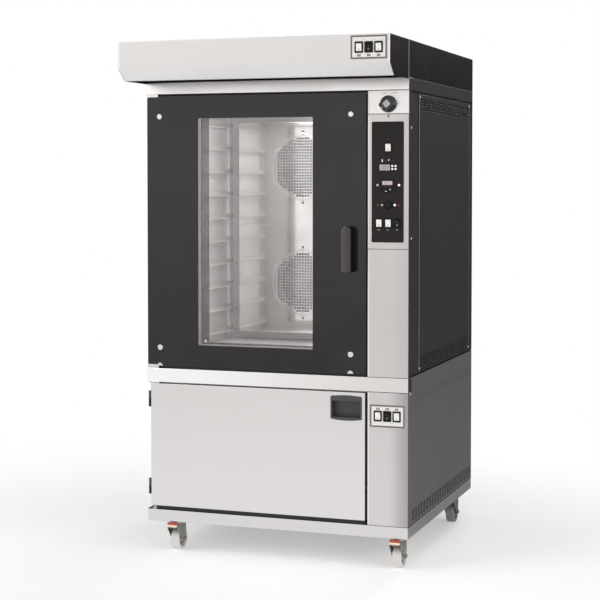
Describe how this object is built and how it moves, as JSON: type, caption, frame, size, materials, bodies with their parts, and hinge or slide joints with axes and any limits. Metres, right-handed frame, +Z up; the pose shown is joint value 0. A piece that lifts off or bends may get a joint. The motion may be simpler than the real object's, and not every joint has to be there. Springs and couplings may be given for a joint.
{
  "type": "convection oven with proofer",
  "caption": "Bakery convection oven with a glazed side-hinged door on a proofer cabinet, with a hood above, a control column and swivel casters.",
  "frame": {"origin": "on the floor under the middle of the whole machine", "axes": "+Z up, the doors face -Y, +X to the right seen from the front"},
  "size_m": [0.96, 1.1997, 1.831],
  "materials": {
    "stainless": "fine brushed",
    "dark_panel": "satin dark grey",
    "grey_panel": "satin grey",
    "hood_paint": "satin near-black",
    "black_glass": "polished, opaque black",
    "clear_glass": "polished",
    "stud_steel": "polished",
    "handle_black": "smooth satin",
    "black_plastic": "satin",
    "panel_black": "semi-gloss",
    "display_face": "gloss",
    "white_plate": "semi-gloss",
    "rocker_white": "semi-gloss",
    "rocker_black": "semi-gloss",
    "seal_rubber": "matte",
    "zinc": "zinc plated",
    "wheel_nylon": "matte",
    "pedal_red": "satin",
    "mineral_wool": "fibrous",
    "motor_paint": "semi-gloss",
    "heater_sheath": "oxidised",
    "filter_aluminium": "satin"
  },
  "bodies": {
    "cabinet": {"base_frame": "stainless", "caster_mounts": "zinc", "proofer_casing": "grey_panel", "proofer_front": "stainless", "proofer_chamber": "stainless", "tray_racks": "stainless", "oven_casing": "dark_panel", "side_covers": "dark_panel", "oven_cavity": "stainless", "insulation": "mineral_wool", "fan_baffle": "stainless", "fan_motors": "motor_paint", "heating_elements": "heater_sheath", "oven_fascia": "stainless", "door_gaskets": "seal_rubber", "oven_lamp": "clear_glass", "hinge_brackets": "stainless", "proofer_hinges": "black_plastic", "control_plate": "panel_black", "displays_and_lamps": "display_face", "switch_plates": "white_plate", "hood_box": "hood_paint", "hood_visor": "stainless", "hood_filter": "filter_aluminium"},
    "oven_door": {"oven_door_front": "black_glass", "oven_door_shell": "stainless", "oven_door_panes": "clear_glass", "oven_door_studs": "stud_steel"},
    "door_lever": {"oven_handle": "handle_black"},
    "proofer_door": {"proofer_door": "stainless", "proofer_pull_and_knuckles": "black_plastic"},
    "knob": {"timer_knob": "black_plastic"},
    "rocker_panel_top": {"rocker_panel_top": "rocker_white"},
    "rocker_panel_left": {"rocker_panel_left": "rocker_white"},
    "rocker_panel_middle": {"rocker_panel_middle": "rocker_white"},
    "rocker_panel_right": {"rocker_panel_right": "rocker_black"},
    "rocker_proofer_left": {"rocker_proofer_left": "rocker_white"},
    "rocker_proofer_middle": {"rocker_proofer_middle": "rocker_black"},
    "rocker_proofer_right": {"rocker_proofer_right": "rocker_white"},
    "rocker_hood_left": {"rocker_hood_left": "rocker_white"},
    "rocker_hood_middle": {"rocker_hood_middle": "rocker_black"},
    "rocker_hood_right": {"rocker_hood_right": "rocker_white"},
    "display_button_1": {"display_button_1": "black_plastic"},
    "display_button_2": {"display_button_2": "black_plastic"},
    "display_button_3": {"display_button_3": "black_plastic"},
    "display_button_4": {"display_button_4": "black_plastic"},
    "round_button": {"round_button": "black_plastic"},
    "caster_front_left": {"caster_fork_front_left": "zinc"},
    "wheel_front_left": {"caster_wheel_front_left": "wheel_nylon"},
    "brake_front_left": {"brake_pedal_front_left": "pedal_red"},
    "caster_front_right": {"caster_fork_front_right": "zinc"},
    "wheel_front_right": {"caster_wheel_front_right": "wheel_nylon"},
    "brake_front_right": {"brake_pedal_front_right": "pedal_red"},
    "caster_rear_left": {"caster_fork_rear_left": "zinc"},
    "wheel_rear_left": {"caster_wheel_rear_left": "wheel_nylon"},
    "caster_rear_right": {"caster_fork_rear_right": "zinc"},
    "wheel_rear_right": {"caster_wheel_rear_right": "wheel_nylon"},
    "fan_lower": {"oven_fan_lower": "stainless"},
    "fan_upper": {"oven_fan_upper": "stainless"}
  },
  "joints": [
    {"name": "oven_door_swing", "type": "hinge", "parent": "cabinet", "child": "oven_door", "pos_m": [-0.466, -0.35115, 1.14], "axis": [0, 0, -1], "range_deg": [0, 120]},
    {"name": "door_lever_turn", "type": "hinge", "parent": "oven_door", "child": "door_lever", "pos_m": [0.2735, -0.36515, 1.1495], "axis": [0, 1, 0], "range_deg": [0, 90]},
    {"name": "proofer_door_swing", "type": "hinge", "parent": "cabinet", "child": "proofer_door", "pos_m": [-0.473, -0.35815, 0.387], "axis": [0, 0, -1], "range_deg": [0, 120]},
    {"name": "knob_turn", "type": "hinge", "parent": "cabinet", "child": "knob", "pos_m": [0.4095, -0.36515, 1.577], "axis": [0, 1, 0], "range_deg": [0, 300]},
    {"name": "rocker_panel_top_rock", "type": "hinge", "parent": "cabinet", "child": "rocker_panel_top", "pos_m": [0.4095, -0.36515, 1.431], "axis": [-1, 0, 0], "range_deg": [0, 12]},
    {"name": "rocker_panel_left_rock", "type": "hinge", "parent": "cabinet", "child": "rocker_panel_left", "pos_m": [0.378, -0.36515, 1.177], "axis": [-1, 0, 0], "range_deg": [0, 12]},
    {"name": "rocker_panel_middle_rock", "type": "hinge", "parent": "cabinet", "child": "rocker_panel_middle", "pos_m": [0.41, -0.36515, 1.177], "axis": [-1, 0, 0], "range_deg": [0, 12]},
    {"name": "rocker_panel_right_rock", "type": "hinge", "parent": "cabinet", "child": "rocker_panel_right", "pos_m": [0.442, -0.36515, 1.177], "axis": [-1, 0, 0], "range_deg": [0, 12]},
    {"name": "rocker_proofer_left_rock", "type": "hinge", "parent": "cabinet", "child": "rocker_proofer_left", "pos_m": [0.375, -0.36415, 0.524], "axis": [-1, 0, 0], "range_deg": [0, 12]},
    {"name": "rocker_proofer_middle_rock", "type": "hinge", "parent": "cabinet", "child": "rocker_proofer_middle", "pos_m": [0.408, -0.36415, 0.524], "axis": [-1, 0, 0], "range_deg": [0, 12]},
    {"name": "rocker_proofer_right_rock", "type": "hinge", "parent": "cabinet", "child": "rocker_proofer_right", "pos_m": [0.441, -0.36415, 0.524], "axis": [-1, 0, 0], "range_deg": [0, 12]},
    {"name": "rocker_hood_left_rock", "type": "hinge", "parent": "cabinet", "child": "rocker_hood_left", "pos_m": [0.376, -0.59215, 1.749], "axis": [-1, 0, 0], "range_deg": [0, 12]},
    {"name": "rocker_hood_middle_rock", "type": "hinge", "parent": "cabinet", "child": "rocker_hood_middle", "pos_m": [0.409, -0.59215, 1.749], "axis": [-1, 0, 0], "range_deg": [0, 12]},
    {"name": "rocker_hood_right_rock", "type": "hinge", "parent": "cabinet", "child": "rocker_hood_right", "pos_m": [0.442, -0.59215, 1.749], "axis": [-1, 0, 0], "range_deg": [0, 12]},
    {"name": "display_button_1_press", "type": "slide", "parent": "cabinet", "child": "display_button_1", "axis": [0, 1, 0], "range_m": [0, 0.0012], "stiffness_N_per_m": 200},
    {"name": "display_button_2_press", "type": "slide", "parent": "cabinet", "child": "display_button_2", "axis": [0, 1, 0], "range_m": [0, 0.0012], "stiffness_N_per_m": 200},
    {"name": "display_button_3_press", "type": "slide", "parent": "cabinet", "child": "display_button_3", "axis": [0, 1, 0], "range_m": [0, 0.0012], "stiffness_N_per_m": 200},
    {"name": "display_button_4_press", "type": "slide", "parent": "cabinet", "child": "display_button_4", "axis": [0, 1, 0], "range_m": [0, 0.0012], "stiffness_N_per_m": 200},
    {"name": "round_button_press", "type": "slide", "parent": "cabinet", "child": "round_button", "axis": [0, 1, 0], "range_m": [0, 0.003], "stiffness_N_per_m": 300},
    {"name": "caster_front_left_swivel", "type": "hinge", "parent": "cabinet", "child": "caster_front_left", "pos_m": [-0.382, -0.33715, 0.1], "axis": [0, 0, 1], "continuous": true},
    {"name": "wheel_front_left_roll", "type": "hinge", "parent": "caster_front_left", "child": "wheel_front_left", "pos_m": [-0.382, -0.31315, 0.04], "axis": [1, 0, 0], "continuous": true},
    {"name": "brake_front_left_tip", "type": "hinge", "parent": "caster_front_left", "child": "brake_front_left", "pos_m": [-0.382, -0.35515, 0.084], "axis": [1, 0, 0], "range_deg": [0, 12]},
    {"name": "caster_front_right_swivel", "type": "hinge", "parent": "cabinet", "child": "caster_front_right", "pos_m": [0.437, -0.33715, 0.1], "axis": [0, 0, 1], "continuous": true},
    {"name": "wheel_front_right_roll", "type": "hinge", "parent": "caster_front_right", "child": "wheel_front_right", "pos_m": [0.437, -0.31315, 0.04], "axis": [1, 0, 0], "continuous": true},
    {"name": "brake_front_right_tip", "type": "hinge", "parent": "caster_front_right", "child": "brake_front_right", "pos_m": [0.437, -0.35515, 0.084], "axis": [1, 0, 0], "range_deg": [0, 12]},
    {"name": "caster_rear_left_swivel", "type": "hinge", "parent": "cabinet", "child": "caster_rear_left", "pos_m": [-0.382, 0.41985, 0.1], "axis": [0, 0, 1], "continuous": true},
    {"name": "wheel_rear_left_roll", "type": "hinge", "parent": "caster_rear_left", "child": "wheel_rear_left", "pos_m": [-0.382, 0.44385, 0.04], "axis": [1, 0, 0], "continuous": true},
    {"name": "caster_rear_right_swivel", "type": "hinge", "parent": "cabinet", "child": "caster_rear_right", "pos_m": [0.437, 0.41985, 0.1], "axis": [0, 0, 1], "continuous": true},
    {"name": "wheel_rear_right_roll", "type": "hinge", "parent": "caster_rear_right", "child": "wheel_rear_right", "pos_m": [0.437, 0.44385, 0.04], "axis": [1, 0, 0], "continuous": true},
    {"name": "oven_fan_lower_spin", "type": "hinge", "parent": "cabinet", "child": "fan_lower", "pos_m": [-0.063, 0.17985, 0.936], "axis": [0, 1, 0], "continuous": true},
    {"name": "oven_fan_upper_spin", "type": "hinge", "parent": "cabinet", "child": "fan_upper", "pos_m": [-0.063, 0.17985, 1.37], "axis": [0, 1, 0], "continuous": true}
  ]
}
